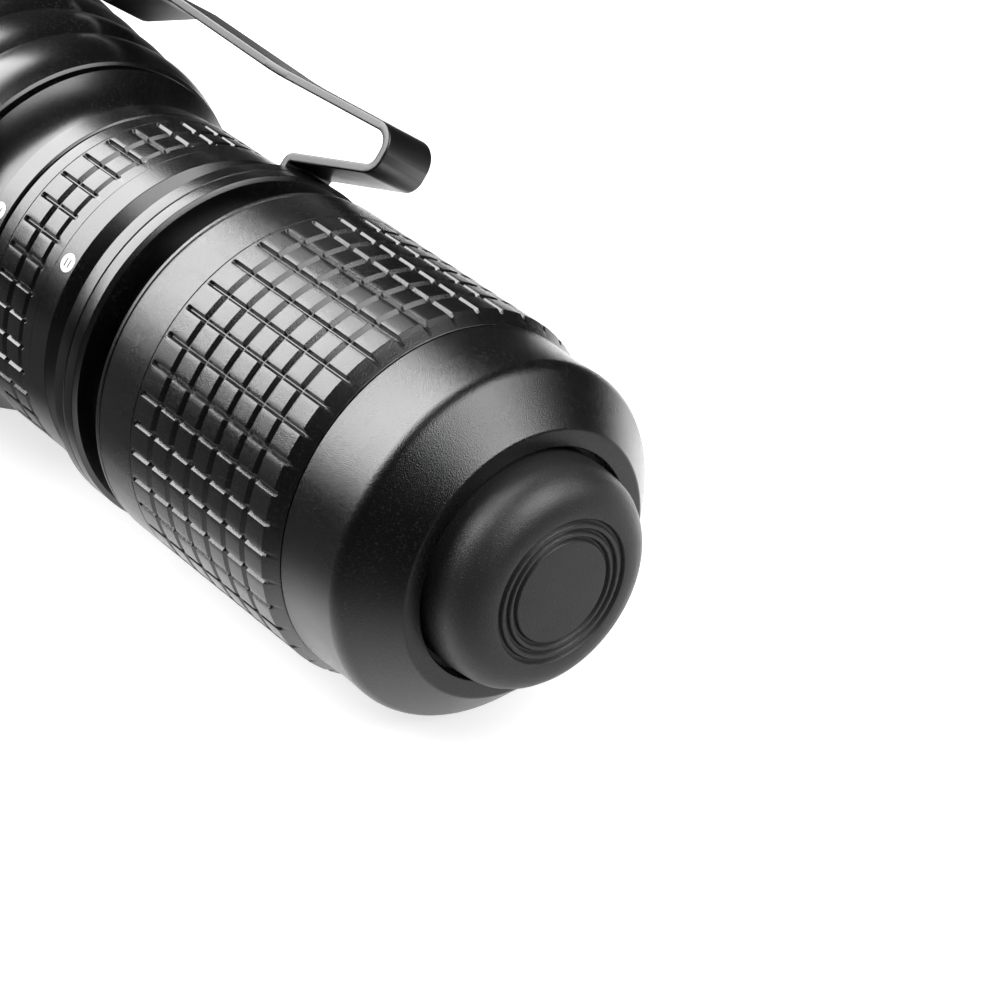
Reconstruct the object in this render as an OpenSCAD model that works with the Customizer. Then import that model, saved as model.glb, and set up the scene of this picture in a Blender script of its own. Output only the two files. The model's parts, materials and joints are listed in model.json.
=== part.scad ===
// Tactical flashlight lying on its side.
// +X runs from the tail button to the bezel, +Z is up, and the origin is on the
// ground under the middle of the light. Every piece is turned about the light's
// own axis, so outlines are given as [distance from the button, radius].
// Clock angles are measured about that axis from the top towards -Y.

/* [Body] */
// Radius of the knurled tail cap
grip_r = 14; // [13.9:0.1:14.4]
// Radius of the bezel, the widest part
bezel_r = 17.5; // [17.3:0.1:18.5]
// Depth of the rounded ridges of the head
ridge_depth = 0.35; // [0.1:0.05:0.5]

/* [Knurl] */
// Rows of square pads round the body
knurl_rows = 39; // [30:1:44]
// Width of the lengthwise grooves between the pads
groove_w = 0.45; // [0.3:0.05:0.6]
// Width of the grooves round the body
ring_groove_w = 0.62; // [0.4:0.02:0.7]
// Depth of the grooves between the pads
groove_depth = 0.28; // [0.16:0.02:0.36]

/* [Button] */
// Radius of the rubber button
button_r = 8.3; // [8:0.1:8.4]
// Travel of the button from rest to its stop
button_travel = 2; // [1.6:0.1:2.2]

/* [Clip] */
// Width of the clip's strip
clip_w = 4.8; // [4:0.1:5.5]
// Thickness of the clip's strip
clip_t = 0.7; // [0.6:0.05:0.75]
// Clock angle of the clip
clip_clock = 39; // [30:1:50]

/* [Index marks] */
// Radius of the white index marks
mark_r = 0.73; // [0.5:0.01:0.75]
// Clock angle of the index marks
mark_clock = -49; // [-60:1:-40]

/* [Hidden] */

light_len = 93;
turned_fn = 96;

// Colours
black_anodised = [0.13, 0.13, 0.14];
black_rubber = [0.2, 0.2, 0.2];
steel_black = [0.1, 0.1, 0.1];
steel = [0.72, 0.73, 0.75];
brass = [0.8, 0.65, 0.3];
board_green = [0.1, 0.35, 0.2];

// Tail end
button_hole_r = 8.7;
bezel_face_x = 3.9;
bezel_seam_x = 13.1;
tail_bore_r = 9.8;
cup_end_x = 16;
tail_board_end_x = 17.6;
spigot_r = 11.6;
spigot_end_x = 19.4;
switch_pin_x = [7, 10.6];
pin_bore_end_x = switch_pin_x[1] + 1 + button_travel;

// Tail cap sleeve
knurl_start_x = 14.34;
knurl_end_x = 29.95;
knurl_columns = 7;
grip_groove_phase = -1.5;
groove_floor = 0.06;
grip_end_x = 35;

// Tube
tube_bore_r = 8.6;
tube_thread_r = 11.35;
thread_pitch = 1.25;
thread_clearance = 0.08;
seal_groove_r = 10.2;
flange_x = 37.42;
flange_r = 14;
clip_groove_x = [39.96, 41.6];
clip_groove_r = 12.2;
index_cone_r = 12.3;
index_band_x = 42.5;
index_band_r = 13.2;
index_mark_x = 43.4;
index_band_end_x = 44.45;
selector_seat_r = 11.8;
selector_x = [44.6, 51.55];
selector_r = 13.16;
selector_bore_r = 11.9;
selector_pads_x = 45.71;
selector_pads_end_x = 50.04;
selector_columns = 2;
selector_ring_x = 45.81;
selector_slot_x = 45.4;
selector_groove_phase = 0.7;
selector_magnet_x = 49.6;
tube_shoulder_x = 51.75;
neck_thread_r = 10.95;
tube_end_x = 57;

// Battery
cell_x = [21.5, 54.8];
cell_r = 8.3;

// Detent of the selector ring
detent_x = 46.6;
detent_clock = 180;
detent_ball_r = 0.8;
detent_ball_height = 11.5;
detent_track_r = 12.36;
detent_steps = 4;
detent_step = 30;

// Neck and sliding barrel
neck_x = 51.9;
neck_band_r = 13;
neck_band_end_x = 53.9;
neck_mark_x = 53.05;
flare_start_x = 54.2;
flare_end_x = 57.9;
flare_r = [12.45, 14.25];
barrel_r = 11.9;
barrel_end_x = 71.5;
driver_cavity_r = 9;
driver_cavity_end_x = 63;
driver_board_x = [58.7, 60.3];
stop_ring_x = [69.75, 70.45];
lead_offset = 4.5;
screw_offset = 6.3;

// Head
head_x = 58.6;
head_end_x = 84.5;
bush_bore_r = 11.97;
bush_end_x = 62.5;
ridge_start_x = 59.2;
ridge_pitch = 4.2;
ridge_count = 5;
ridge_first_r = 15.05;
ridge_slope = 0.098;
head_cavity_r = 13.3;
lens_seat_x = 79;
lens_r = 13.1;
lens_apex_x = 88.5;
lens_curve_r = 14.18;

// Clip, as [distance from the button, height above the axis, bend radius]
collar_x = [40.05, 41.35];
collar_r = [12.3, 12.75];
collar_opening = 60;
clip_foot = [40.4, 12.32];
clip_split_h = 18.05;
clip_split_gap = 0.06;
clip_web_x = 32.2;
leaf_path = [
    clip_foot,
    [40.4, 14.4, 0.6],
    [clip_web_x, 16.9, 1.15],
    [clip_web_x, clip_split_h - clip_split_gap / 2]
];
arm_path = [
    [clip_web_x, clip_split_h + clip_split_gap / 2],
    [clip_web_x, 19.9, 1.5],
    [46, 19.3, 40],
    [60.9, 19.75, 5],
    [67.7, 16.75, 2.6],
    [72, 18.5]
];

// ---- Helpers ----

function unit(v) = v / norm(v);

// Points of the arc of radius rad that rounds the corner at b
function corner(a, b, c, rad, steps = 6) =
    rad == 0 ? [b] :
    let (u = unit(a - b),
         w = unit(c - b),
         half = acos(u * w) / 2,
         centre = b + unit(u + w) * rad / sin(half),
         from = b + u * rad / tan(half) - centre,
         to = b + w * rad / tan(half) - centre,
         sweep = acos(unit(from) * unit(to)))
    [for (i = [0:steps])
        centre + (from * sin((1 - i / steps) * sweep) + to * sin(i / steps * sweep)) / sin(sweep)];

function flat(p) = [p[0], p[1]];

function bend_of(p) = len(p) > 2 ? p[2] : 0;

// A closed outline whose points may carry a rounding radius
function rounded(p) =
    let (n = len(p))
    [for (i = [0:n - 1])
        each corner(flat(p[(i + n - 1) % n]), flat(p[i]), flat(p[(i + 1) % n]), bend_of(p[i]))];

// An open path whose inner points may carry a bend radius
function bent(p) = [
    flat(p[0]),
    for (i = [1:len(p) - 2]) each corner(flat(p[i - 1]), flat(p[i]), flat(p[i + 1]), bend_of(p[i])),
    flat(p[len(p) - 1])
];

function side_of(p, i) =
    let (a = p[max(i - 1, 0)],
         b = p[min(i + 1, len(p) - 1)],
         d = unit(b - a))
    [-d[1], d[0]];

// Outline of a strip of thickness t along an open path
function strip(p, t) = [
    for (i = [0:len(p) - 1]) p[i] + side_of(p, i) * t / 2,
    for (i = [len(p) - 1:-1:0]) p[i] - side_of(p, i) * t / 2
];

// Puts a piece drawn along the light's axis in its place on the ground
module placed() {
    translate([-light_len / 2, 0, bezel_r]) children();
}

// Solid of revolution about the light's axis from an outline of [x, radius]
module turned(outline) {
    rotate([0, 90, 0])
        rotate_extrude($fn = turned_fn)
            polygon([for (p = rounded(outline)) [p[1], p[0]]]);
}

// Cylinder along the light's axis
module rod(x0, x1, r) {
    translate([x0, 0, 0])
        rotate([0, 90, 0])
            cylinder(h = x1 - x0, r = r, $fn = turned_fn);
}

// Ring along the light's axis
module ring(x0, x1, r_in, r_out) {
    turned([[x0, r_in], [x0, r_out], [x1, r_out], [x1, r_in]]);
}

module torus(x, r, section_r) {
    translate([x, 0, 0])
        rotate([0, 90, 0])
            rotate_extrude($fn = turned_fn)
                translate([r, 0])
                    circle(r = section_r, $fn = 32);
}

// Axial V-shaped grooves with a narrow floor, cut into a surface of radius r
module axial_grooves(x0, x1, r, phase) {
    floor_half = groove_floor / 2;
    overrun = 1;
    top_half = floor_half + (groove_w / 2 - floor_half) * (groove_depth + overrun) / groove_depth;
    for (i = [0:knurl_rows - 1])
        rotate([360 * i / knurl_rows + phase, 0, 0])
            translate([x0, 0, r - groove_depth])
                rotate([90, 0, 90])
                    linear_extrude(x1 - x0)
                        polygon([
                            [-floor_half, 0],
                            [floor_half, 0],
                            [top_half, groove_depth + overrun],
                            [-top_half, groove_depth + overrun]
                        ]);
}

// Outline points of a V-shaped groove round a surface of radius r
function ring_groove(x, r) = [
    [x - ring_groove_w / 2, r],
    [x - groove_floor / 2, r - groove_depth],
    [x + groove_floor / 2, r - groove_depth],
    [x + ring_groove_w / 2, r]
];

// Wedge that opens a ring, from its clock angle and width
module opening(x0, x1, r, clock, angle) {
    far = 2 * r;
    rotate([clock, 0, 0])
        translate([x0, 0, 0])
            rotate([0, 90, 0])
                linear_extrude(x1 - x0)
                    polygon([[0, 0], [-far, -far * tan(angle / 2)], [-far, far * tan(angle / 2)]]);
}

// Coil spring along the light's axis, swept as one tube
module coil(x0, x1, r0, r1, turns, wire_r) {
    sides = 8;
    steps = turns * 16;
    span = x1 - x0 - 2 * wire_r;
    points = [
        for (i = [0:steps])
            let (a = 360 * turns * i / steps,
                 r = r0 + (r1 - r0) * i / steps,
                 x = x0 + wire_r + span * i / steps)
            for (j = [0:sides - 1])
                let (b = 360 * j / sides,
                     reach = r + wire_r * cos(b))
                [x + wire_r * sin(b), -reach * sin(a), reach * cos(a)]
    ];
    faces = [
        [for (j = [0:sides - 1]) j],
        for (i = [0:steps - 1], j = [0:sides - 1])
            [i * sides + j,
             (i + 1) * sides + j,
             (i + 1) * sides + (j + 1) % sides,
             i * sides + (j + 1) % sides],
        [for (j = [sides - 1:-1:0]) steps * sides + j]
    ];
    polyhedron(points, faces, convexity = 10);
}

// White disc let into a surface of radius r, and the pocket it sits in
module index_disc(x, r, disc_r, depth) {
    rotate([mark_clock, 0, 0])
        translate([x, 0, r - depth])
            cylinder(h = depth, r = disc_r, $fn = 32);
}

// ---- Tail end ----

module tail_bezel() {
    color(black_anodised) placed()
        turned([
            [bezel_face_x, button_hole_r],
            [bezel_face_x, 10.04, 0.4],
            [7.16, 13.3, 1.5],
            [10.2, 13.2],
            [bezel_seam_x, 13.35, 0.12],
            [bezel_seam_x, spigot_r],
            [spigot_end_x, spigot_r],
            [spigot_end_x, tail_bore_r],
            [5.3, tail_bore_r],
            [5.3, button_hole_r]
        ]);
}

module tail_grip() {
    pad_pitch = (knurl_end_x - knurl_start_x) / knurl_columns;
    color(black_anodised) placed()
        difference() {
            turned([
                [13.16, 11.7],
                [13.16, 13.35, 0.1],
                [knurl_start_x, grip_r],
                for (i = [1:knurl_columns - 1]) each ring_groove(knurl_start_x + i * pad_pitch, grip_r),
                [34, grip_r],
                [34.05, grip_r - 0.15],
                [34.25, grip_r - 0.15],
                [34.3, grip_r - 0.05],
                [34.55, grip_r - 0.08],
                [grip_end_x, grip_r - 0.5],
                [grip_end_x, tube_thread_r + thread_clearance],
                [21.6, tube_thread_r + thread_clearance],
                [21.6, 9.9],
                [19.6, 9.9],
                [19.6, 11.7]
            ]);
            axial_grooves(13, knurl_end_x, grip_r, grip_groove_phase);
        }
}

module button_cover() {
    flange_x0 = 5.35;
    flange_x1 = 6.2;
    flange_outer_r = 9.4;
    color(black_rubber) placed()
        turned([
            [0.12, 0],
            [0.12, 3.9],
            [0, 4.0],
            [0, 4.35],
            [0.12, 4.45],
            [0.12, 4.6],
            [0, 4.7],
            [0, 5.05],
            [0.12, 5.15],
            [0.12, 5.3],
            [0, 5.4],
            [0, button_r - 0.3, 2.4],
            [3.4, button_r],
            [flange_x0, button_r],
            [flange_x0, flange_outer_r],
            [flange_x1, flange_outer_r],
            [flange_x1, 7.0],
            [1.3, 7.0, 1.2],
            [1.3, 0]
        ]);
}

module button_plunger() {
    color("dimgray") placed()
        turned([
            [1.35, 0],
            [1.35, 5.6],
            [3, 6.7],
            [3.2, 6.7],
            [3.2, 2.8],
            [6.98, 2.8],
            [6.98, 0]
        ]);
}

module switch_pin() {
    color("ivory") placed() rod(switch_pin_x[0], switch_pin_x[1], 1.6);
}

module switch_spring() {
    color(steel) placed() coil(switch_pin_x[1] + 0.02, pin_bore_end_x - 0.05, 1.15, 1.15, 2.5, 0.12);
}

module switch_body() {
    color("black") placed()
        difference() {
            rod(9.3, cup_end_x - 0.05, 5);
            rod(9.2, pin_bore_end_x, 1.7);
        }
}

module switch_housing() {
    color("dimgray") placed()
        turned([
            [9, 5.1],
            [9, 9.3, 0.5],
            [10, 9.65],
            [cup_end_x - 0.05, 9.65],
            [cup_end_x - 0.05, 5.1]
        ]);
}

module tail_board() {
    color(board_green) placed() rod(cup_end_x, tail_board_end_x, 9.6);
}

module switch_retaining_ring() {
    color(brass) placed()
        difference() {
            ring(tail_board_end_x + 0.05, spigot_end_x, 5.6, 9.75);
            for (side = [-1, 1])
                translate([0, side * 7.6, 0]) rod(18.2, spigot_end_x + 1, 0.8);
        }
}

module tail_spring() {
    color(brass) placed() coil(tail_board_end_x + 0.05, cell_x[0] - 0.05, 4.6, 3, 4, 0.35);
}

// ---- Tube ----

module battery_tube() {
    thread_turns = 5;
    color(black_anodised) placed()
        difference() {
            turned([
                [22, tube_bore_r],
                [22, 10.9],
                [22.45, tube_thread_r],
                for (i = [0:thread_turns - 1])
                    let (x = 23 + i * thread_pitch)
                    each [[x, tube_thread_r], [x + 0.35, tube_thread_r - 0.35],
                          [x + 0.6, tube_thread_r - 0.35], [x + 0.95, tube_thread_r]],
                [30, tube_thread_r],
                [30, seal_groove_r],
                [31.8, seal_groove_r],
                [31.8, tube_thread_r],
                [35.2, tube_thread_r],
                [35.2, 12],
                [flange_x, 12],
                [flange_x, flange_r - 0.35],
                [flange_x + 0.2, flange_r],
                [38.62, flange_r],
                [38.66, flange_r - 0.08],
                [38.74, flange_r - 0.08],
                [38.78, flange_r],
                [clip_groove_x[0] - 0.1, flange_r],
                [clip_groove_x[0], flange_r - 0.1],
                [clip_groove_x[0], clip_groove_r],
                [clip_groove_x[1], clip_groove_r],
                [clip_groove_x[1], index_cone_r],
                [index_band_x, index_band_r],
                [index_band_end_x, index_band_r],
                [index_band_end_x, selector_seat_r],
                [tube_shoulder_x, selector_seat_r],
                [tube_shoulder_x, neck_thread_r],
                [tube_end_x, neck_thread_r],
                [tube_end_x, tube_bore_r]
            ]);
            index_disc(index_mark_x, index_band_r + 0.02, mark_r + 0.02, 0.17);
            rotate([detent_clock, 0, 0])
                translate([detent_x, 0, 9.4])
                    cylinder(h = 4, r = detent_ball_r + 0.05, $fn = 32);
        }
}

module tail_o_ring() {
    color("black") placed() torus(30.9, 10.8, 0.58);
}

module cell_can() {
    color(steel) placed() rod(cell_x[0], cell_x[1], cell_r - 0.15);
}

module cell_sleeve() {
    color("darkblue") placed() ring(cell_x[0] + 0.4, cell_x[1] - 0.3, cell_r - 0.14, cell_r);
}

module cell_insulator() {
    color("white") placed() ring(cell_x[1] + 0.01, cell_x[1] + 0.35, 3.1, cell_r - 0.4);
}

module cell_cap() {
    color(steel) placed() rod(cell_x[1] + 0.01, 56, 2.9);
}

module tube_index_mark() {
    color("white") placed() index_disc(index_mark_x, index_band_r + 0.02, mark_r, 0.16);
}

// ---- Clip ----

module clip_strip(path) {
    rotate([clip_clock, 0, 0])
        rotate([90, 0, 0])
            linear_extrude(clip_w, center = true)
                polygon(strip(bent(path), clip_t));
}

module clip_collar() {
    color(steel_black) placed() {
        difference() {
            ring(collar_x[0], collar_x[1], collar_r[0], collar_r[1]);
            opening(collar_x[0] - 1, collar_x[1] + 1, collar_r[1], clip_clock + 180, collar_opening);
        }
        clip_strip(leaf_path);
    }
}

module clip_arm() {
    color(steel_black) placed() clip_strip(arm_path);
}

// ---- Selector ----

module selector_ring() {
    pad_pitch = (selector_pads_end_x - selector_pads_x) / selector_columns;
    color(black_anodised) placed()
        difference() {
            turned([
                [selector_x[0], selector_bore_r],
                [selector_x[0], selector_r - 0.12],
                [selector_x[0] + 0.12, selector_r],
                for (i = [0:selector_columns - 1])
                    each ring_groove(selector_ring_x + i * pad_pitch, selector_r),
                [selector_x[1] - 0.2, selector_r],
                [selector_x[1], selector_r - 0.2],
                [selector_x[1], selector_bore_r]
            ]);
            axial_grooves(selector_slot_x, selector_pads_end_x, selector_r, selector_groove_phase);
            rotate([detent_clock, 0, 0]) {
                for (i = [0:detent_steps - 1])
                    rotate([-i * detent_step, 0, 0])
                        translate([detent_x, 0, selector_bore_r - 1])
                            cylinder(h = 1.55, r = detent_ball_r + 0.1, $fn = 32);
            }
            ring(detent_x - 0.9, detent_x + 0.9, selector_bore_r - 1, detent_track_r);
            translate([selector_magnet_x, 0, selector_bore_r - 1])
                cylinder(h = 1.9, r = 1.05, $fn = 32);
        }
}

module selector_magnet() {
    color(steel) placed()
        translate([selector_magnet_x, 0, selector_bore_r + 0.08])
            cylinder(h = 0.8, r = 1, $fn = 32);
}

module detent_ball() {
    color(steel) placed()
        rotate([detent_clock, 0, 0])
            translate([detent_x, 0, detent_ball_height])
                sphere(r = detent_ball_r, $fn = 48);
}

module detent_spring() {
    color(steel) placed()
        rotate([detent_clock, 0, 0])
            translate([detent_x, 0, 0])
                rotate([0, -90, 0])
                    coil(9.42, detent_ball_height - detent_ball_r + 0.1, 0.5, 0.5, 3, 0.1);
}

// ---- Neck and light engine ----

module neck() {
    flare_steps = 8;
    flare_power = 1.9;
    color(black_anodised) placed()
        difference() {
            turned([
                [neck_x, neck_thread_r + 0.05],
                [neck_x, neck_band_r - 0.15],
                [neck_x + 0.15, neck_band_r],
                [neck_band_end_x, neck_band_r],
                [neck_band_end_x + 0.15, flare_r[0]],
                for (i = [0:flare_steps])
                    [flare_start_x + (flare_end_x - flare_start_x) * i / flare_steps,
                     flare_r[0] + (flare_r[1] - flare_r[0]) * pow(i / flare_steps, flare_power)],
                [flare_end_x, barrel_r],
                [stop_ring_x[0] - 0.05, barrel_r],
                [stop_ring_x[0] - 0.05, barrel_r - 0.7],
                [stop_ring_x[1] + 0.05, barrel_r - 0.7],
                [stop_ring_x[1] + 0.05, barrel_r],
                [barrel_end_x - 0.4, barrel_r],
                [barrel_end_x, barrel_r - 0.4],
                [barrel_end_x, 0],
                [driver_cavity_end_x, 0],
                [driver_cavity_end_x, driver_cavity_r],
                [tube_end_x + 0.05, driver_cavity_r],
                [tube_end_x + 0.05, neck_thread_r + 0.05]
            ]);
            index_disc(neck_mark_x, neck_band_r + 0.02, mark_r + 0.02, 0.17);
            for (side = [-1, 1]) {
                translate([0, side * lead_offset, 0]) rod(driver_cavity_end_x - 1, barrel_end_x + 1, 0.9);
                translate([0, 0, side * screw_offset]) rod(barrel_end_x - 4, barrel_end_x + 1, 0.85);
            }
        }
}

module neck_index_mark() {
    color("white") placed() index_disc(neck_mark_x, neck_band_r + 0.02, mark_r, 0.16);
}

module driver_board() {
    color(board_green) placed() rod(driver_board_x[0], driver_board_x[1], 8.9);
}

module driver_parts() {
    top = driver_board_x[1] + 0.01;
    color([0.15, 0.15, 0.15]) placed() {
        translate([top, -1.8, -1.8]) cube([1.6, 3.6, 3.6]);
        translate([top, 3.2, 2.6]) cube([1, 2.2, 1.4]);
        translate([top, -5.4, 2.6]) cube([1, 2.2, 1.4]);
        translate([top, -1.1, -6]) cube([1.2, 2.2, 2.2]);
        translate([top, 3, -5]) cube([0.9, 1.4, 2]);
    }
}

module driver_spring() {
    color(brass) placed() coil(56.03, driver_board_x[0] - 0.02, 1.6, 2.6, 3, 0.3);
}

module driver_retaining_ring() {
    color(brass) placed()
        difference() {
            ring(57.3, driver_board_x[0] - 0.05, 6.4, 8.95);
            for (side = [-1, 1])
                translate([0, side * 7.7, 0]) rod(57, 58.1, 0.7);
        }
}

module led_board() {
    color("whitesmoke") placed()
        difference() {
            rod(barrel_end_x + 0.02, 73.1, 8);
            for (side = [-1, 1]) {
                translate([0, 0, side * screw_offset]) rod(barrel_end_x - 1, 74, 1.1);
                translate([0, side * lead_offset, 0]) rod(barrel_end_x - 1, 74, 0.9);
            }
        }
}

module led_package() {
    color("khaki") placed()
        translate([73.12, -1.75, -1.75])
            cube([0.7, 3.5, 3.5]);
}

module led_dome() {
    dome_r = 1.5;
    color([0.9, 0.9, 0.8, 0.6]) placed()
        intersection() {
            translate([73.84, 0, 0]) sphere(r = dome_r, $fn = 48);
            rod(73.84, 80, dome_r + 1);
        }
}

module led_board_screws() {
    color(steel) placed()
        for (side = [-1, 1])
            translate([0, 0, side * screw_offset]) {
                rod(barrel_end_x - 3.5, 73.2, 0.8);
                rod(73.15, 74.1, 1.6);
            }
}

module led_leads() {
    color("firebrick") placed()
        for (side = [-1, 1])
            translate([0, side * lead_offset, 0]) rod(driver_board_x[1] + 0.02, 73.3, 0.6);
}

module head_stop_ring() {
    color(steel) placed()
        difference() {
            ring(stop_ring_x[0], stop_ring_x[1], barrel_r - 0.65, 12.7);
            opening(stop_ring_x[0] - 1, stop_ring_x[1] + 1, 12.7, 0, 50);
        }
}

// ---- Head ----

// Radius of the head at a distance past the first valley: a row of rounded
// ridges on a cone
function ridge_r(x) =
    let (u = 2 * (x / ridge_pitch - floor(x / ridge_pitch)) - 1)
    ridge_first_r + ridge_slope * x - ridge_depth * u * u;

module head_shell() {
    ridge_steps = 6;
    ridge_end = ridge_count * ridge_pitch;
    color(black_anodised) placed()
        turned([
            [head_x, bush_bore_r],
            [head_x, ridge_first_r - 0.75],
            [head_x + 0.15, ridge_first_r - 0.5],
            for (i = [0:ridge_count * ridge_steps - 1])
                [ridge_start_x + ridge_end * i / (ridge_count * ridge_steps),
                 ridge_r(ridge_end * i / (ridge_count * ridge_steps))],
            [ridge_start_x + ridge_end, ridge_r(ridge_end - 0.001)],
            [81, bezel_r - 0.55, 0.4],
            [head_end_x, bezel_r - 0.25, 0.2],
            [head_end_x, 15.2],
            [82.2, 15.2],
            [82.2, head_cavity_r],
            [lens_seat_x, head_cavity_r],
            [lens_seat_x, 12.2],
            [77.5, 12.2],
            [76.4, head_cavity_r],
            [bush_end_x, head_cavity_r],
            [bush_end_x, bush_bore_r],
            [61.3, bush_bore_r],
            [61.3, 13],
            [59.9, 13],
            [59.9, bush_bore_r]
        ]);
}

module head_o_ring() {
    color("black") placed() torus(60.6, 12.5, 0.5);
}

module lens() {
    dome_steps = 14;
    centre_x = lens_apex_x - lens_curve_r;
    start = acos((81.2 - centre_x) / lens_curve_r);
    color([0.85, 0.93, 0.97, 0.5]) placed()
        turned([
            [lens_seat_x + 0.02, 0],
            [lens_seat_x + 0.02, lens_r],
            [81.2, lens_r],
            for (i = [0:dome_steps])
                [centre_x + lens_curve_r * cos(start * (1 - i / dome_steps)),
                 lens_curve_r * sin(start * (1 - i / dome_steps))]
        ]);
}

module lens_seal() {
    color("black") placed() torus(81.79, 12.72, 0.55);
}

module bezel_ring() {
    color(black_anodised) placed()
        turned([
            [82.36, 12.3],
            [82.36, 15.1],
            [head_end_x + 0.1, 15.1],
            [head_end_x + 0.1, bezel_r - 0.25, 0.15],
            [85.1, bezel_r],
            [91.4, bezel_r, 0.8],
            [light_len, bezel_r - 1.1, 0.4],
            [light_len, 14.6, 0.3],
            [90.2, 13.3],
            [86, 12.7]
        ]);
}

tail_bezel();
tail_grip();
button_cover();
button_plunger();
switch_pin();
switch_spring();
switch_body();
switch_housing();
tail_board();
switch_retaining_ring();
tail_spring();
battery_tube();
tail_o_ring();
cell_can();
cell_sleeve();
cell_cap();
cell_insulator();
tube_index_mark();
clip_collar();
clip_arm();
selector_ring();
selector_magnet();
detent_ball();
detent_spring();
neck();
neck_index_mark();
driver_board();
driver_parts();
driver_spring();
driver_retaining_ring();
led_board();
led_package();
led_dome();
led_board_screws();
led_leads();
head_stop_ring();
head_shell();
head_o_ring();
lens();
lens_seal();
bezel_ring();
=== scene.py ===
"""Looks of the tactical flashlight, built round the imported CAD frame.

Outlines are in millimetres as (distance from the tail button, radius, fillet), turned about
the light's own axis. Clock angles run about that axis from the top towards -Y.
"""
import json
import math

import bmesh
import bpy
from mathutils import Matrix, Vector

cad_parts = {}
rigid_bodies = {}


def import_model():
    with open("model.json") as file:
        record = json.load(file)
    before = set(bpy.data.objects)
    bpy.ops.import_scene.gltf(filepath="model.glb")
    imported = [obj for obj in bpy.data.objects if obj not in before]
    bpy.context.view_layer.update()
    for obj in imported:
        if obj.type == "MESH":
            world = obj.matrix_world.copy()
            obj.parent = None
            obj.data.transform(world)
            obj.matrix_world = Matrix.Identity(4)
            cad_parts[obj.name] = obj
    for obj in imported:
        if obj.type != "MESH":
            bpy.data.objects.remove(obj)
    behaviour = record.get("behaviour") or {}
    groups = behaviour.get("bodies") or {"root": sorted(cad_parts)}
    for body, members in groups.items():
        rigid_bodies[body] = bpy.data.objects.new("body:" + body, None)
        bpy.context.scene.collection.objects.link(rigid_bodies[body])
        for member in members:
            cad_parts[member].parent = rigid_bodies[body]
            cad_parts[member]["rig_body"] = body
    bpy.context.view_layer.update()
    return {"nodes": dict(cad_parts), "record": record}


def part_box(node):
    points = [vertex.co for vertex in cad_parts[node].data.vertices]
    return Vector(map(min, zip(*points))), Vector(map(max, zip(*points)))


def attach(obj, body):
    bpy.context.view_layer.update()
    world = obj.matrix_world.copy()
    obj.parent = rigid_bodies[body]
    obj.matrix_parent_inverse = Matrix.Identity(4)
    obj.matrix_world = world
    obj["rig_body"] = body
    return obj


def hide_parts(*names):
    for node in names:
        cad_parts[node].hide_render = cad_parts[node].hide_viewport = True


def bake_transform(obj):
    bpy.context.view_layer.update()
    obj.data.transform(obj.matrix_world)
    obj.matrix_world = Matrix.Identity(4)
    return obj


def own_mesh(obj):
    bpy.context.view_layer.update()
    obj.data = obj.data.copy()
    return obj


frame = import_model()

MM = 0.001
SIDES = 192
NODES = frame["nodes"]
SLOTS = {s["node"]: s["material_slot"] for s in frame["record"]["subparts"]}
TAIL_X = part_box("button_cover")[0].x
BEZEL_LOW, BEZEL_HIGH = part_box("bezel_ring")
AXIS_Z = (BEZEL_LOW.z + BEZEL_HIGH.z) / 2

# Knurl, shared by the tail cap and the selector ring
KNURL_ROWS = 39
GRIP_PHASE = -1.5
SELECTOR_PHASE = 0.7
GROOVE_W = 0.45
RING_W = 0.62
GROOVE_DEPTH = 0.28
GROOVE_FLOOR = 0.03
EDGE_ROUND = 0.05
EDGE_DIP = 0.012

# Clip
CLIP_CLOCK = 39
CLIP_W = 4.8
CLIP_T = 0.7
WEB_X = 32.2

MARK_CLOCK = -49
MARK_R = 0.73


# ---- Places ----

def at(s, r, clock):
    """Point at distance s from the button, radius r and a clock angle."""
    a = math.radians(clock)
    return Vector((TAIL_X + s * MM, -r * MM * math.sin(a), AXIS_Z + r * MM * math.cos(a)))


def beside(s, height, across, clock):
    """Point by its height above the axis and its distance across a plane at a clock angle."""
    a = math.radians(clock)
    y = -height * math.sin(a) - across * math.cos(a)
    z = height * math.cos(a) - across * math.sin(a)
    return Vector((TAIL_X + s * MM, y * MM, AXIS_Z + z * MM))


# ---- Outlines ----

def arc_corner(a, b, c, rad, steps):
    """Points of the arc that rounds the corner b between a and c."""
    to_a = (a - b).normalized()
    to_c = (c - b).normalized()
    half = math.acos(max(-1, min(1, to_a.dot(to_c)))) / 2
    if rad <= 0 or half > math.pi / 2 - 0.01:
        return [b]
    centre = b + (to_a + to_c).normalized() * rad / math.sin(half)
    first = b + to_a * rad / math.tan(half) - centre
    last = b + to_c * rad / math.tan(half) - centre
    sweep = math.acos(max(-1, min(1, first.dot(last) / rad ** 2)))
    points = []
    for i in range(steps + 1):
        t = i / steps
        mix = first * math.sin((1 - t) * sweep) + last * math.sin(t * sweep)
        points.append(centre + mix / math.sin(sweep))
    return points


def rounded(points, closed=True, steps=6):
    """Outline with its third numbers turned into fillets."""
    flat = [Vector(p[:2]) for p in points]
    rads = [p[2] if len(p) > 2 else 0 for p in points]
    count = len(flat)
    out = []
    for i in range(count):
        if not closed and i in (0, count - 1):
            out.append(flat[i])
            continue
        out += arc_corner(flat[i - 1], flat[i], flat[(i + 1) % count], rads[i], steps)
    return out


def ring_groove(s, r):
    """Outline of a V groove with softened edges round a surface of radius r."""
    half = RING_W / 2
    floor = r - GROOVE_DEPTH
    return [
        (s - half, r, EDGE_ROUND), (s - GROOVE_FLOOR, floor),
        (s + GROOVE_FLOOR, floor), (s + half, r, EDGE_ROUND),
    ]


# ---- Mesh building ----

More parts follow.
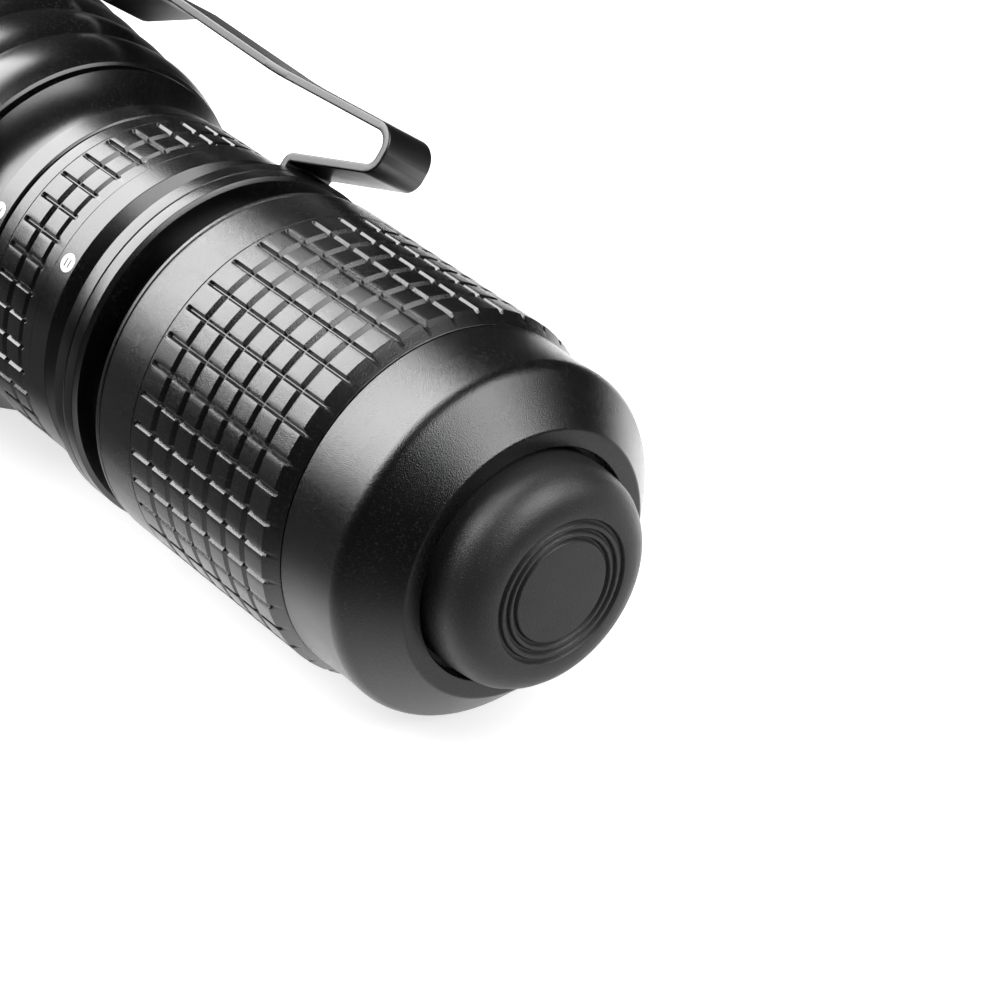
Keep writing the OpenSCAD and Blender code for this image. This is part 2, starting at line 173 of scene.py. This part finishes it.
def finished(name, verts, faces, sharp=32):
    """Object from vertices and faces, with outward normals and its hard edges kept."""
    mesh = bpy.data.meshes.new(name)
    mesh.from_pydata([tuple(v) for v in verts], [], faces)
    bm = bmesh.new()
    bm.from_mesh(mesh)
    bmesh.ops.recalc_face_normals(bm, faces=bm.faces)
    bm.to_mesh(mesh)
    bm.free()
    mesh.shade_smooth()
    mesh.set_sharp_from_angle(angle=math.radians(sharp))
    obj = bpy.data.objects.new(name, mesh)
    bpy.context.scene.collection.objects.link(obj)
    weighted = obj.modifiers.new("weighted", "WEIGHTED_NORMAL")
    weighted.keep_sharp = True
    return obj


def turned(name, outline, clocks=None, cut=None, sharp=32):
    """Closed solid of revolution; cut(s, r, clock) may lower the radius of a point."""
    points = rounded(outline)
    if clocks is None:
        clocks = [360 * i / SIDES for i in range(SIDES)]
    verts = []
    rows = []
    for p in points:
        if p.y < 1e-6:
            rows.append([len(verts)])
            verts.append(at(p.x, 0, 0))
            continue
        row = []
        for clock in clocks:
            radius = cut(p.x, p.y, clock) if cut else p.y
            row.append(len(verts))
            verts.append(at(p.x, radius, clock))
        rows.append(row)
    faces = []
    for i, row in enumerate(rows):
        other = rows[(i + 1) % len(rows)]
        for j in range(len(clocks)):
            k = (j + 1) % len(clocks)
            if len(row) > 1 and len(other) > 1:
                faces.append((row[j], row[k], other[k], other[j]))
            elif len(row) > 1:
                faces.append((row[j], row[k], other[0]))
            elif len(other) > 1:
                faces.append((row[0], other[k], other[j]))
    return finished(name, verts, faces, sharp)


def lofted(name, sections, sharp=32):
    """Closed solid through a row of sections with the same number of points."""
    count = len(sections[0])
    verts = [p for section in sections for p in section]
    faces = [tuple(range(count))]
    for i in range(len(sections) - 1):
        for j in range(count):
            k = (j + 1) % count
            faces.append((i * count + j, i * count + k, (i + 1) * count + k, (i + 1) * count + j))
    faces.append(tuple(range((len(sections) - 1) * count, len(sections) * count)))
    return finished(name, verts, faces, sharp)


# ---- Knurl ----

def knurl_clocks(r, phase):
    """Clock angles whose lines follow the edges of every axial groove."""
    half = GROOVE_W / 2
    pitch = 2 * math.pi * r / KNURL_ROWS
    inside_edge, pad_share = 0.04, 0.28
    offsets = [GROOVE_FLOOR, half - inside_edge, half, half + EDGE_ROUND, pitch * pad_share, pitch / 2]
    offsets += [-o for o in offsets[:-1]]
    clocks = []
    for i in range(KNURL_ROWS):
        for offset in sorted(offsets):
            clocks.append(360 * i / KNURL_ROWS + phase + math.degrees(offset / r))
    return clocks


def groove_depth_at(distance):
    """Depth of a V groove at a distance from its middle, with softened edges."""
    half = GROOVE_W / 2
    if distance >= half + EDGE_ROUND:
        return 0
    if distance >= half:
        return EDGE_DIP * (half + EDGE_ROUND - distance) / EDGE_ROUND
    if distance <= GROOVE_FLOOR:
        return GROOVE_DEPTH
    return EDGE_DIP + (GROOVE_DEPTH - EDGE_DIP) * (half - distance) / (half - GROOVE_FLOOR)


def knurl_cut(r_top, start, end, phase):
    """Cut of axial grooves that run from start to end and taper out past both."""
    step = 360 / KNURL_ROWS
    below_grooves = r_top - GROOVE_DEPTH - 0.5

    def cut(s, r, clock):
        if r < below_grooves:
            return r
        turn = (clock - phase + step / 2) % step - step / 2
        along = max(0, start - s, s - end)
        distance = math.hypot(math.radians(turn) * r_top, along)
        return min(r, r_top - groove_depth_at(distance))

    return cut


def taper_rows(s, r, sign):
    """Extra outline points that carry the rounded end of the slots."""
    offsets = [0, 0.05, 0.1, 0.15, 0.19, 0.225, 0.275]
    if sign < 0:
        offsets = offsets[::-1]
    return [(s + sign * o, r) for o in offsets]


# ---- Materials ----

class Finish:
    """Principled material with its textures placed in metres on the object."""

    def __init__(self, name):
        self.material = bpy.data.materials.new(name)
        self.material.use_nodes = True
        self.nodes = self.material.node_tree.nodes
        self.links = self.material.node_tree.links
        self.shader = self.nodes["Principled BSDF"]
        self.place = self.nodes.new("ShaderNodeTexCoord").outputs["Object"]
        self.normal = None

    def set(self, **values):
        for key, value in values.items():
            self.shader.inputs[key.replace("_", " ")].default_value = value
        return self

    def noise(self, size_mm, detail=2.0, stretch=None):
        """Value noise of a feature size, optionally stretched along the light."""
        node = self.nodes.new("ShaderNodeTexNoise")
        node.inputs["Scale"].default_value = 1 / (size_mm * MM)
        node.inputs["Detail"].default_value = detail
        source = self.place
        if stretch:
            mapping = self.nodes.new("ShaderNodeMapping")
            mapping.inputs["Scale"].default_value = stretch
            self.links.new(self.place, mapping.inputs["Vector"])
            source = mapping.outputs["Vector"]
        self.links.new(source, node.inputs["Vector"])
        return node.outputs["Fac"]

    def ramp(self, value, low, high, to_low, to_high):
        node = self.nodes.new("ShaderNodeMapRange")
        node.inputs["From Min"].default_value = low
        node.inputs["From Max"].default_value = high
        node.inputs["To Min"].default_value = to_low
        node.inputs["To Max"].default_value = to_high
        self.links.new(value, node.inputs["Value"])
        return node.outputs["Result"]

    def times(self, a, b):
        node = self.nodes.new("ShaderNodeMath")
        node.operation = "MULTIPLY"
        self.links.new(a, node.inputs[0])
        self.links.new(b, node.inputs[1])
        return node.outputs["Value"]

    def blend_colour(self, factor, first, second):
        node = self.nodes.new("ShaderNodeMix")
        node.data_type = "RGBA"
        colours = [s for s in node.inputs if s.type == "RGBA"]
        colours[0].default_value = (*first, 1)
        colours[1].default_value = (*second, 1)
        self.links.new(factor, node.inputs["Factor"])
        return [s for s in node.outputs if s.type == "RGBA"][0]

    def colour(self, factor, first, second):
        self.links.new(self.blend_colour(factor, first, second), self.shader.inputs["Base Color"])
        return self

    def roughness(self, value, low, high):
        self.links.new(self.ramp(value, 0.3, 0.7, low, high), self.shader.inputs["Roughness"])
        return self

    def bump(self, value, height_mm, strength=1.0):
        node = self.nodes.new("ShaderNodeBump")
        node.inputs["Distance"].default_value = height_mm * MM
        node.inputs["Strength"].default_value = strength
        self.links.new(value, node.inputs["Height"])
        if self.normal is not None:
            self.links.new(self.normal, node.inputs["Normal"])
        self.normal = node.outputs["Normal"]
        self.links.new(self.normal, self.shader.inputs["Normal"])
        return self

    def edges(self, low=0.53, high=0.64):
        """How much a point stands out as an edge."""
        node = self.nodes.new("ShaderNodeNewGeometry")
        return self.ramp(node.outputs["Pointiness"], low, high, 0, 1)


def anodised(name, rough_low, rough_high, grain_height):
    """Black anodised aluminium: bead-blasted grain, faint handling blotches, rubbed specks."""
    f = Finish(name).set(IOR=1.6, Metallic=0.0)
    rubbed = f.times(f.ramp(f.noise(0.2, 2), 0.55, 0.8, 0, 1), f.ramp(f.noise(6, 4), 0.4, 0.7, 0.2, 1))
    f.colour(rubbed, (0.0016, 0.0016, 0.0018), (0.03, 0.03, 0.031))
    f.roughness(f.noise(5.5, 4), rough_low, rough_high)
    f.bump(f.noise(0.085, 1), grain_height)
    f.bump(f.noise(1.6, 3), 0.003, 0.5)
    return f.material


def rubber(name, dark, light, rough, grain_mm):
    """Matt rubber with a fine speckle and slight blotches."""
    f = Finish(name).set(IOR=1.5)
    f.colour(f.ramp(f.noise(grain_mm, 2), 0.6, 0.8, 0, 1), dark, light)
    f.roughness(f.noise(2.5, 3), rough - 0.04, rough + 0.05)
    f.bump(f.noise(grain_mm, 4), 0.03)
    return f.material


def moulded(name, dark, light, rough):
    """Moulded plastic or lacquer with a fine mould texture."""
    f = Finish(name).set(IOR=1.47)
    f.colour(f.ramp(f.noise(1.8, 3), 0.3, 0.7, 0, 1), dark, light)
    f.roughness(f.noise(0.9, 3), rough - 0.06, rough + 0.06)
    f.bump(f.noise(0.16, 3), 0.003)
    return f.material


def bare_metal(name, dark, light, rough):
    """Plain metal with drawing lines round the light and small blotches."""
    f = Finish(name).set(Metallic=1.0)
    f.colour(f.ramp(f.noise(1.2, 4), 0.3, 0.7, 0, 1), dark, light)
    f.roughness(f.noise(0.6, 3, (1, 6, 6)), rough - 0.07, rough + 0.08)
    f.bump(f.noise(0.25, 3, (5, 1, 1)), 0.002)
    return f.material


def clip_coat(name):
    """Satin black coating on the clip, rubbed to a paler grey along its cut edges."""
    f = Finish(name).set(IOR=1.6)
    wear = f.times(f.edges(), f.ramp(f.noise(0.9, 5), 0.35, 0.65, 0.02, 0.25))
    f.colour(wear, (0.0022, 0.0022, 0.0025), (0.1, 0.1, 0.1))
    f.roughness(f.noise(4.0, 4, (0.4, 1, 1)), 0.27, 0.38)
    f.bump(f.noise(0.14, 3, (0.5, 1, 1)), 0.0022)
    return f.material


def paint(name):
    """White paint inlay, slightly uneven, with random greyer blotches."""
    f = Finish(name).set(IOR=1.45)
    f.colour(f.ramp(f.noise(0.45, 4), 0.35, 0.75, 0, 1), (0.82, 0.82, 0.81), (0.6, 0.6, 0.59))
    f.roughness(f.noise(0.3, 3), 0.45, 0.62)
    f.bump(f.noise(0.18, 3), 0.008)
    return f.material


def clear(name, rough, tint):
    """Clear glass or silicone with the faintest surface ripple."""
    f = Finish(name).set(IOR=1.5, Base_Color=(*tint, 1), Transmission_Weight=1.0)
    f.roughness(f.noise(6, 2), rough, rough + 0.03)
    f.bump(f.noise(3.5, 2), 0.0015)
    return f.material


MATERIALS = {
    "anodised_shell": anodised("anodised_shell", 0.22, 0.28, 0.006),
    "button_rubber": rubber("button_rubber", (0.018, 0.018, 0.019), (0.07, 0.07, 0.072), 0.4, 0.1),
    "seal_rubber": rubber("seal_rubber", (0.01, 0.01, 0.01), (0.018, 0.018, 0.018), 0.42, 0.3),
    "dark_plastic": moulded("dark_plastic", (0.02, 0.02, 0.021), (0.034, 0.034, 0.035), 0.45),
    "white_plastic": moulded("white_plastic", (0.72, 0.72, 0.68), (0.82, 0.82, 0.78), 0.42),
    "cell_wrap": moulded("cell_wrap", (0.012, 0.03, 0.16), (0.02, 0.05, 0.22), 0.22),
    "spring_steel": bare_metal("spring_steel", (0.42, 0.42, 0.43), (0.62, 0.62, 0.64), 0.3),
    "contact_brass": bare_metal("contact_brass", (0.62, 0.45, 0.2), (0.8, 0.63, 0.32), 0.28),
    "circuit_board": moulded("circuit_board", (0.012, 0.08, 0.035), (0.03, 0.16, 0.07), 0.35),
    "led_board_white": moulded("led_board_white", (0.78, 0.78, 0.76), (0.88, 0.88, 0.86), 0.38),
    "led_phosphor": moulded("led_phosphor", (0.75, 0.6, 0.12), (0.88, 0.74, 0.2), 0.6),
    "led_silicone": clear("led_silicone", 0.04, (0.97, 0.97, 0.93)),
    "lead_insulation": moulded("lead_insulation", (0.4, 0.03, 0.02), (0.58, 0.06, 0.04), 0.4),
    "cell_body": bare_metal("cell_body", (0.5, 0.5, 0.52), (0.66, 0.66, 0.68), 0.27),
    "index_white": paint("index_white"),
    "clip_steel": clip_coat("clip_steel"),
    "lens_glass": clear("lens_glass", 0.02, (0.97, 0.99, 1.0)),
}
BLASTED = anodised("anodised_blasted", 0.25, 0.31, 0.021)


def stands_for(obj, node, material=None):
    """Gives a new piece its material and lets it ride in place of a CAD node."""
    slot = SLOTS[node]
    obj.data.materials.append(material or MATERIALS[slot])
    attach(obj, NODES[node]["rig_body"])
    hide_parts(node)
    return obj


# ---- Tail end ----

def make_tail_bezel():
    stands_for(turned("tail_bezel_shell", [
        (3.9, 8.7, 0.12),
        (3.9, 10.04, 0.35),
        (7.16, 13.3, 1.5),
        (10.2, 13.2),
        (13.02, 13.34, 0.1),
        (13.1, 13.2),
        (13.1, 11.6),
        (19.4, 11.6, 0.2),
        (19.4, 9.8, 0.2),
        (5.3, 9.8),
        (5.3, 8.7, 0.1),
    ]), "tail_bezel", BLASTED)


def make_tail_grip():
    top = 14.0
    start, end, columns = 14.34, 29.95, 7
    pitch = (end - start) / columns
    slot_end = end - GROOVE_W / 2
    outline = [
        (13.16, 11.7), (13.16, 13.33, 0.1), (start - 0.55, 13.66),
        (start - 0.25, 13.84), (start, top, 0.12),
    ]
    for i in range(1, columns):
        outline += [(start + (i - 0.5) * pitch, top)] + ring_groove(start + i * pitch, top)
    outline += taper_rows(slot_end, top, 1)
    outline += [
        (30.08, top, 0.03), (30.1, top - 0.05), (30.22, top - 0.05), (30.24, top, 0.03),
        (33.95, top, 0.05), (34.05, top - 0.15), (34.25, top - 0.15), (34.3, top - 0.05, 0.03),
        (34.6, top - 0.08, 0.1), (35, top - 0.5, 0.12), (35, 11.43), (21.6, 11.43),
        (21.6, 9.9), (19.6, 9.9), (19.6, 11.7),
    ]
    cut = knurl_cut(top, 12.5, slot_end, GRIP_PHASE)
    clocks = knurl_clocks(top, GRIP_PHASE)
    stands_for(turned("tail_cap_sleeve", outline, clocks, cut, 24), "tail_grip", BLASTED)


def make_button():
    face, groove = 0.02, 0.3
    outline = [(face, 0), (face, 3.6)]
    for low, high in ((3.74, 4.1), (4.34, 4.7), (4.98, 5.38)):
        outline += [(face, low - 0.02, 0.08), (groove, low + 0.1, 0.06)]
        outline += [(groove, high - 0.1, 0.06), (face, high + 0.02, 0.08)]
    outline += [
        (face, 5.6), (0, 8.0, 2.4), (3.4, 8.3), (5.35, 8.3), (5.35, 9.4), (6.2, 9.4),
        (6.2, 7.0), (1.3, 7.0, 1.2), (1.3, 0),
    ]
    stands_for(turned("button_boot", outline, sharp=40), "button_cover")


def make_switch_spring():
    """Return spring of the switch, built as a fixed coil, though the real spring closes up as far as the
    button travels.
    """
    wire, turns, steps, sides = 0.12, 2.5, 90, 10
    low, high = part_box("switch_spring")
    first = (low.x - TAIL_X) / MM
    length = (high.x - low.x) / MM
    coil_r = (high.y - low.y) / MM / 2 - wire
    sections = []
    for i in range(steps + 1):
        t = i / steps
        s = first + wire + (length - 2 * wire) * t
        section = []
        for j in range(sides):
            a = 2 * math.pi * j / sides
            section.append(at(s + wire * math.sin(a), coil_r + wire * math.cos(a), 360 * turns * t))
        sections.append(section)
    coil = stands_for(lofted("switch_spring_coil", sections), "switch_spring")
    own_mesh(coil)


# ---- Tube ----

def make_battery_tube():
    thread_r, pitch, depth = 11.35, 1.25, 0.35
    thread_from, thread_to = 22.5, 29.3
    rows, run_out = 68, 0.5
    flank, crest = 1.9, 0.35
    outline = [(22, 8.6), (22, 10.95), (thread_from - 0.05, thread_r)]
    outline += [(thread_from + (thread_to - thread_from) * i / rows, thread_r) for i in range(rows + 1)]
    outline += [
        (30, thread_r, 0.08), (30, 10.2), (31.8, 10.2), (31.8, thread_r, 0.08),
        (35.2, thread_r), (35.2, 12), (37.42, 12), (37.42, 13.65, 0.08), (37.62, 14, 0.1),
        (38.6, 14, 0.03), (38.64, 13.92), (38.74, 13.92), (38.78, 14, 0.03),
        (39.86, 14, 0.06), (39.96, 13.9, 0.05), (39.96, 12.2, 0.1), (41.6, 12.2, 0.08),
        (41.6, 12.3, 0.04), (42.5, 13.2, 0.12), (44.47, 13.2, 0.02), (44.47, 11.8),
        (51.75, 11.8), (51.75, 10.95), (57, 10.95), (57, 8.6),
    ]

    def thread(s, r, clock):
        if r < thread_r - 0.01 or not thread_from < s < thread_to:
            return r
        phase = ((s - thread_from) / pitch - clock / 360) % 1
        wave = min(1, max(0, flank * abs(2 * phase - 1) - crest))
        fade = min(1, (s - thread_from) / run_out, (thread_to - s) / run_out)
        return r - depth * (1 - wave) * fade

    stands_for(turned("battery_tube_body", outline, cut=thread), "battery_tube")


def make_mark(name, node, s, r):
    """White disc let into a round surface, and two thin dark bars on it: painted shade standing for two fine
    scored lines.
    """
    rings, sides = 6, 40
    verts, faces = [], []
    top = r + 0.012
    foot = r - 0.13
    line_half, line_rise, line_steps = 0.055, 0.01, 12

    def point(radius, angle, height):
        u = radius * math.cos(angle)
        v = radius * math.sin(angle)
        return at(s + u, height, MARK_CLOCK + math.degrees(v / r))

    profile = [(MARK_R * i / rings, top) for i in range(1, rings)]
    profile += [(MARK_R - 0.03, top), (MARK_R, top - 0.02), (MARK_R, foot)]
    verts.append(at(s, top, MARK_CLOCK))
    for radius, height in profile:
        verts += [point(radius, 2 * math.pi * j / sides, height) for j in range(sides)]
    verts.append(at(s, foot, MARK_CLOCK))
    last = 1 + (len(profile) - 1) * sides
    for j in range(sides):
        k = (j + 1) % sides
        faces.append((0, 1 + j, 1 + k))
        for i in range(len(profile) - 1):
            a = 1 + i * sides
            faces.append((a + j, a + sides + j, a + sides + k, a + k))
        faces.append((last + k, last + j, len(verts) - 1))
    stands_for(finished(name, verts, faces), node)
    # Painted shade: flush dark bars stand in for the shade inside two scored lines.
    for side, offset in (("rear", -0.2), ("front", 0.2)):
        sections = []
        for i in range(line_steps + 1):
            clock = MARK_CLOCK + math.degrees((i / line_steps - 0.5) * 0.9 * MARK_R / r)
            corners = (
                (-line_half, line_rise), (line_half, line_rise),
                (line_half, -line_rise), (-line_half, -line_rise),
            )
            sections.append([at(s + offset + c[0], top + c[1], clock) for c in corners])
        line = lofted(f"{name}_line_{side}", sections)
        line.data.materials.append(MATERIALS["dark_plastic"])
        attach(line, NODES[node]["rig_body"])


# ---- Clip ----

def strip_section(half, thick, corner=0.14):
    """Rounded rectangle across the clip, as (across, outward) pairs."""
    corner = min(corner, half * 0.9)
    points = [
        (-half, -thick / 2, corner), (half, -thick / 2, corner),
        (half, thick / 2, corner), (-half, thick / 2, corner),
    ]
    return rounded(points, steps=4)


def make_clip_strip():
    path = [
        (40.4, 12.32), (40.4, 14.4, 0.6), (WEB_X, 16.9, 1.15), (WEB_X, 19.9, 1.5),
        (46, 19.3, 40), (60.9, 19.75, 5), (67.7, 16.75, 2.6), (72, 18.5),
    ]
    line = rounded(path, closed=False, steps=14)
    back = (line[-2] - line[-1]).normalized()
    tip_cut = [line[-1] + back * CLIP_W / 2 * t for t in (1, 0.8, 0.6, 0.4, 0.25, 0.13, 0.06, 0.02)]
    line = line[:-1] + tip_cut
    web = [p for p in line if abs(p.x - WEB_X) < 1e-6]
    after_web = line.index(web[0]) + 1
    web_rows = 10
    extra = [web[0] + (web[-1] - web[0]) * t / web_rows for t in range(1, web_rows)]
    line = line[:after_web] + extra + line[after_web:]
    tip_half = 0.25
    sections = []
    for i, p in enumerate(line):
        along = (line[min(i + 1, len(line) - 1)] - line[max(i - 1, 0)]).normalized()
        side = Vector((-along.y, along.x))
        from_tip = (p - Vector(path[-1][:2])).length
        reach = max(0, 1 - from_tip / (CLIP_W / 2))
        half = max(tip_half, CLIP_W / 2 * math.sqrt(max(0, 1 - reach ** 2)))
        section = []
        for across, out in strip_section(half, CLIP_T):
            place = p + side * out
            section.append(beside(place.x, place.y, across, CLIP_CLOCK))
        sections.append(section)
    strip = lofted("clip_strip", sections)
    slot = SLOTS["clip_arm"]
    strip.data.materials.append(MATERIALS[slot])
    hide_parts("clip_arm")
    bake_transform(strip)


def make_clip_collar():
    opening = 60
    r_in, r_out = 12.3, 12.75
    s_in, s_out = 40.05, 41.35
    steps = 150
    start = CLIP_CLOCK + 180 + opening / 2
    edge = 0.1
    profile = rounded([
        (s_in, r_in, edge), (s_in, r_out, edge), (s_out, r_out, edge), (s_out, r_in, edge),
    ], steps=3)
    sections = []
    for i in range(steps + 1):
        clock = start + (360 - opening) * i / steps
        sections.append([at(p.x, p.y, clock) for p in profile])
    stands_for(lofted("clip_collar_ring", sections), "clip_collar")


# ---- Selector ----

def make_selector():
    top, bore = 13.16, 11.9
    start, end = 45.71, 50.04
    pitch = (end - start) / 2
    rear_slot, front_slot = start - 0.1, end - GROOVE_W / 2
    outline = [(44.53, bore), (44.53, top - 0.03), (44.56, top)]
    outline += taper_rows(rear_slot, top, -1)
    outline += ring_groove(start + 0.1, top) + [(start + pitch / 2, top)]
    outline += ring_groove(start + pitch + 0.1, top) + [(start + 1.6 * pitch, top)]
    outline += taper_rows(front_slot, top, 1)
    outline += [
        (50.12, top), (50.14, top - 0.04), (50.22, top - 0.04), (50.24, top),
        (51.35, top, 0.08), (51.55, top - 0.2, 0.08), (51.55, bore),
    ]
    cut = knurl_cut(top, rear_slot, front_slot, SELECTOR_PHASE)
    clocks = knurl_clocks(top, SELECTOR_PHASE)
    stands_for(turned("selector_sleeve", outline, clocks, cut, 24), "selector_ring")


# ---- Neck and head ----

def make_neck():
    band, flare_from, flare_to = 13.0, 54.2, 57.9
    waist, rise, bend, steps = 12.45, 1.8, 1.9, 20
    outline = [
        (51.9, 11.0), (51.9, band - 0.15, 0.05), (52.05, band, 0.08),
        (53.9, band, 0.06), (54.05, waist, 0.05),
    ]
    for i in range(steps + 1):
        t = i / steps
        outline.append((flare_from + (flare_to - flare_from) * t, waist + rise * t ** bend))
    outline += [
        (flare_to, 11.9), (69.7, 11.9), (69.7, 11.2), (70.5, 11.2), (70.5, 11.9),
        (71.1, 11.9), (71.5, 11.5), (71.5, 0), (63, 0), (63, 9), (57.05, 9), (57.05, 11.0),
    ]
    stands_for(turned("neck_body", outline), "neck")


def make_head():
    ridge_from, pitch, count, steps = 59.2, 4.2, 5, 14
    first_r, slope, depth = 15.05, 0.098, 0.35
    outline = [(58.6, 11.97), (58.6, first_r - 0.75, 0.05), (58.75, first_r - 0.5, 0.08)]
    for i in range(count * steps):
        u = 2 * (i % steps) / steps - 1
        x = pitch * i / steps
        outline.append((ridge_from + x, first_r + slope * x - depth * u * u))
    end = count * pitch
    outline += [
        (ridge_from + end, first_r + slope * end - depth), (81, 16.95, 0.4), (84.5, 17.25, 0.2),
        (84.5, 15.2), (82.2, 15.2), (82.2, 13.3), (79, 13.3), (79, 12.2), (77.5, 12.2),
        (76.4, 13.3), (62.5, 13.3), (62.5, 11.97), (61.3, 11.97), (61.3, 13), (59.9, 13), (59.9, 11.97),
    ]
    stands_for(turned("head_body", outline), "head_shell")


def make_bezel():
    stands_for(turned("bezel_rim", [
        (82.36, 12.3), (82.36, 15.1), (84.6, 15.1), (84.6, 17.25, 0.15), (85.1, 17.5, 0.1), (91.4, 17.5, 0.8),
        (93, 16.4, 0.4), (93, 14.6, 0.3), (90.2, 13.3, 0.3), (86, 12.7, 0.2),
    ]), "bezel_ring")


def make_lens():
    apex, curve = 88.5, 14.18
    centre = apex - curve
    start = math.acos((81.2 - centre) / curve)
    steps = 30
    outline = [(79.02, 0), (79.02, 13.1, 0.15), (81.2, 13.1, 0.15)]
    for i in range(steps + 1):
        a = start * (1 - i / steps)
        outline.append((centre + curve * math.cos(a), curve * math.sin(a)))
    stands_for(turned("lens_dome", outline), "lens")


# ---- Carried-over CAD nodes ----

def dress_cad_nodes():
    for name, node in NODES.items():
        if node.hide_render:
            continue
        node.data.materials.clear()
        node.data.materials.append(MATERIALS[SLOTS[name]])


# ---- Stage ----

def floor_card_painted_pool():
    """Pale card, evenly bright to the camera. What it sends onto the light is a painted pool of light:
    painted albedo and glow that fall off past the pool.
    """
    f = Finish("floor_card_painted_pool").set(IOR=1.3)
    f.roughness(f.noise(20, 3), 0.75, 0.85)
    line = f.nodes.new("ShaderNodeVectorMath")
    line.operation = "DOT_PRODUCT"
    line.inputs[1].default_value = (0.526, 0.851, 0)
    f.links.new(f.place, line.inputs[0])
    painted_pool_round = f.nodes.new("ShaderNodeVectorMath")
    painted_pool_round.operation = "DISTANCE"
    painted_pool_round.inputs[1].default_value = (0, -0.04, 0)
    f.links.new(f.place, painted_pool_round.inputs[0])
    along = f.nodes.new("ShaderNodeSeparateXYZ")
    f.links.new(f.place, along.inputs["Vector"])
    # Painted pool of light: albedo and glow are high inside it and fall to dark past the line, past its round
    # edge and towards -X.
    painted_light_pool = f.times(f.ramp(line.outputs["Value"], 0.003, 0.025, 1, 0),
                   f.ramp(painted_pool_round.outputs["Value"], 0.05, 0.1, 1, 0))
    painted_light_pool = f.times(painted_light_pool, f.ramp(along.outputs["X"], -0.085, -0.03, 0.1, 1))
    f.colour(painted_light_pool, (0.05, 0.05, 0.05), (0.8, 0.8, 0.8))
    # Painted glow of the pool of light, up to 0.9, on top of its painted albedo.
    f.set(Emission_Color=(1, 1, 1, 1))
    f.links.new(f.ramp(painted_light_pool, 0, 1, 0, 0.9), f.shader.inputs["Emission Strength"])
    pale = f.nodes.new("ShaderNodeBsdfDiffuse")
    f.links.new(f.blend_colour(f.noise(60, 3), (0.5, 0.5, 0.5), (0.54, 0.54, 0.54)), pale.inputs["Color"])
    glow = f.nodes.new("ShaderNodeEmission")
    glow.inputs["Strength"].default_value = 0.72
    both = f.nodes.new("ShaderNodeAddShader")
    path = f.nodes.new("ShaderNodeLightPath")
    mix = f.nodes.new("ShaderNodeMixShader")
    f.links.new(pale.outputs["BSDF"], both.inputs[0])
    f.links.new(glow.outputs["Emission"], both.inputs[1])
    # Camera rays see the even pale card; all other rays see the painted pool of light.
    f.links.new(path.outputs["Is Camera Ray"], mix.inputs["Fac"])
    f.links.new(f.shader.outputs["BSDF"], mix.inputs[1])
    f.links.new(both.outputs["Shader"], mix.inputs[2])
    f.links.new(mix.outputs["Shader"], f.nodes["Material Output"].inputs["Surface"])
    return f.material


def make_floor():
    """Pale table under the light, which rests on its bezel and on the rear of the knurl."""
    rest_front = Vector((0.0386, 0, 0))
    rest_rear = Vector((-0.0322, 0, 0.0035))
    slope = (rest_front - rest_rear).normalized()
    size, cells = 4.0, 8
    verts, faces = [], []
    for i in range(cells + 1):
        for j in range(cells + 1):
            place = rest_front + slope * (i / cells - 0.5) * size
            verts.append(place + Vector((0, (j / cells - 0.5) * size, 0)))
    for i in range(cells):
        for j in range(cells):
            a = i * (cells + 1) + j
            faces.append((a, a + cells + 1, a + cells + 2, a + 1))
    floor = finished("floor", verts, faces)
    floor.data.materials.append(floor_card_painted_pool())


def make_light(name, direction, distance, width, height, power):
    target = Vector((0, 0, AXIS_Z))
    light = bpy.data.lights.new(name, "AREA")
    light.shape = "RECTANGLE"
    light.size = width
    light.size_y = height
    light.energy = power
    obj = bpy.data.objects.new(name, light)
    bpy.context.scene.collection.objects.link(obj)
    obj.location = target + Vector(direction).normalized() * distance
    obj.rotation_euler = (target - obj.location).to_track_quat("-Z", "Y").to_euler()
    obj.visible_camera = False


def make_world():
    """Dim studio all round, with a pale backdrop where the camera sees past the floor."""
    world = bpy.data.worlds.new("studio")
    bpy.context.scene.world = world
    world.use_nodes = True
    nodes = world.node_tree.nodes
    links = world.node_tree.links
    dim = nodes["Background"]
    dim.inputs["Color"].default_value = (1, 1, 1, 1)
    dim.inputs["Strength"].default_value = 0.035
    pale = nodes.new("ShaderNodeBackground")
    pale.inputs["Color"].default_value = (1, 1, 1, 1)
    pale.inputs["Strength"].default_value = 0.95
    path = nodes.new("ShaderNodeLightPath")
    mix = nodes.new("ShaderNodeMixShader")
    links.new(path.outputs["Is Camera Ray"], mix.inputs["Fac"])
    links.new(dim.outputs["Background"], mix.inputs[1])
    links.new(pale.outputs["Background"], mix.inputs[2])
    links.new(mix.outputs["Shader"], nodes["World Output"].inputs["Surface"])


def make_camera():
    right = Vector((-0.6205, -0.7842, 0)).normalized()
    forward = Vector((0.6466, -0.5116, -0.5658)).normalized()
    up = right.cross(forward)
    camera = bpy.data.cameras.new("camera")
    camera.lens = 120.95
    camera.sensor_width = 36
    camera.clip_start = 0.01
    obj = bpy.data.objects.new("camera", camera)
    bpy.context.scene.collection.objects.link(obj)
    turn = Matrix((right, up, -forward)).transposed()
    obj.matrix_world = Matrix.Translation((-0.18387, 0.11385, 0.14722)) @ turn.to_4x4()
    bpy.context.scene.camera = obj


make_tail_bezel()
make_tail_grip()
make_button()
make_switch_spring()
make_battery_tube()
make_mark("tube_mark", "tube_index_mark", 43.4, 13.2)
make_mark("neck_mark", "neck_index_mark", 53.05, 13.0)
make_clip_collar()
make_clip_strip()
make_selector()
make_neck()
make_head()
make_bezel()
make_lens()
dress_cad_nodes()
make_floor()
make_light("key_softbox", (0.673, 0.24, 0.70), 0.6, 0.7, 0.48, 10.6)
make_light("fill_softbox", (-0.65, -0.29, 0.71), 0.6, 0.48, 0.48, 4.7)
make_world()
make_camera()
bpy.context.scene.view_settings.view_transform = "Standard"
